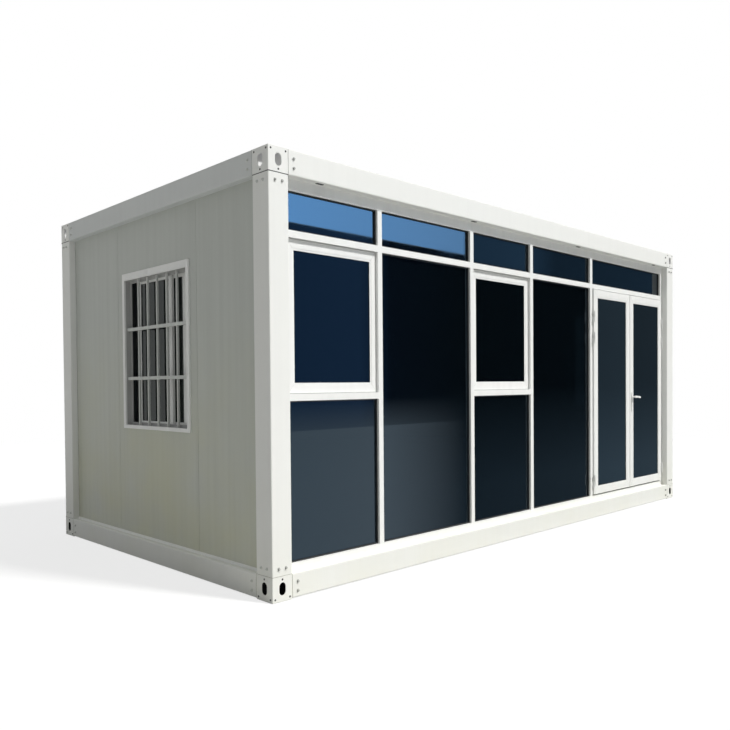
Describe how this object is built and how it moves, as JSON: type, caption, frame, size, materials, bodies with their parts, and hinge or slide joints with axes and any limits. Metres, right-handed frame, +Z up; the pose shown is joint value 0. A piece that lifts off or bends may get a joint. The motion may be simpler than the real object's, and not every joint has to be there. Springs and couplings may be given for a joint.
{
  "type": "flat pack container house",
  "caption": "White flat pack container house with a bolted steel frame, sandwich panel walls, a glazed front with a double door, and barred sliding windows in its end walls.",
  "frame": {"origin": "on the ground, under the middle of the house", "axes": "+X to the right along the glazed front, +Y from the front to the back, +Z up; the front faces -Y"},
  "size_m": [5.95, 3, 2.8],
  "materials": {
    "frame_paint": "white satin paint on cold-formed steel",
    "sandwich_panel": "white satin coated thin steel facings on a light foam core",
    "white_profile": "white powder coat, semi-gloss",
    "tinted_glass": "dark blue-grey tinted, reflective",
    "galvanized_steel": "galvanized, dull",
    "roof_steel": "light coated ribbed steel sheet",
    "floor_board": "grey sheet-covered board",
    "ceiling_panel": "white coated light panel",
    "bar_paint": "white paint on square steel bar",
    "handle_white": "white powder coat, semi-gloss"
  },
  "bodies": {
    "house": {"top_corner_fittings": "frame_paint", "bottom_corner_fittings": "frame_paint", "front_left_post": "frame_paint", "front_right_post": "frame_paint", "back_left_post": "frame_paint", "back_right_post": "frame_paint", "front_top_beam": "frame_paint", "back_top_beam": "frame_paint", "left_top_beam": "frame_paint", "right_top_beam": "frame_paint", "front_bottom_beam": "frame_paint", "back_bottom_beam": "frame_paint", "left_bottom_beam": "frame_paint", "right_bottom_beam": "frame_paint", "roof_sheet": "roof_steel", "roof_purlins": "galvanized_steel", "ceiling_panels": "ceiling_panel", "floor_board": "floor_board", "floor_joists": "galvanized_steel", "left_plain_panels": "sandwich_panel", "left_window_panel": "sandwich_panel", "right_plain_panels": "sandwich_panel", "right_window_panel": "sandwich_panel", "back_wall_panels": "sandwich_panel", "window_casings": "white_profile", "window_sashes": "white_profile", "window_glass": "tinted_glass", "window_bars": "bar_paint", "front_head_rail": "white_profile", "front_sill_rail": "white_profile", "front_jambs": "white_profile", "front_mullions": "white_profile", "front_transoms": "white_profile", "casement_middle_rails": "white_profile", "transom_glass": "tinted_glass", "fixed_glass": "tinted_glass", "casement_sashes": "white_profile", "casement_glass": "tinted_glass", "frame_hinges": "handle_white"},
    "left_door": {"left_door_leaf": "white_profile", "left_door_glass": "tinted_glass", "left_door_hinges": "handle_white"},
    "right_door": {"right_door_leaf": "white_profile", "right_door_glass": "tinted_glass", "right_door_hinges": "handle_white", "lock_plates": "handle_white"},
    "lever": {"door_lever": "handle_white"}
  },
  "joints": [
    {"name": "left_door_swing", "type": "hinge", "parent": "house", "child": "left_door", "pos_m": [1.1805, -1.462, 1.2], "axis": [0, 0, -1], "range_deg": [0, 100]},
    {"name": "right_door_swing", "type": "hinge", "parent": "house", "child": "right_door", "pos_m": [2.767, -1.462, 1.2], "axis": [0, 0, 1], "range_deg": [0, 100]},
    {"name": "lever_turn", "type": "hinge", "parent": "right_door", "child": "lever", "pos_m": [2.02, -1.454, 1.18], "axis": [0, 1, 0], "range_deg": [0, 45], "stiffness_Nm_per_rad": 1, "springref_deg": -28.65}
  ]
}
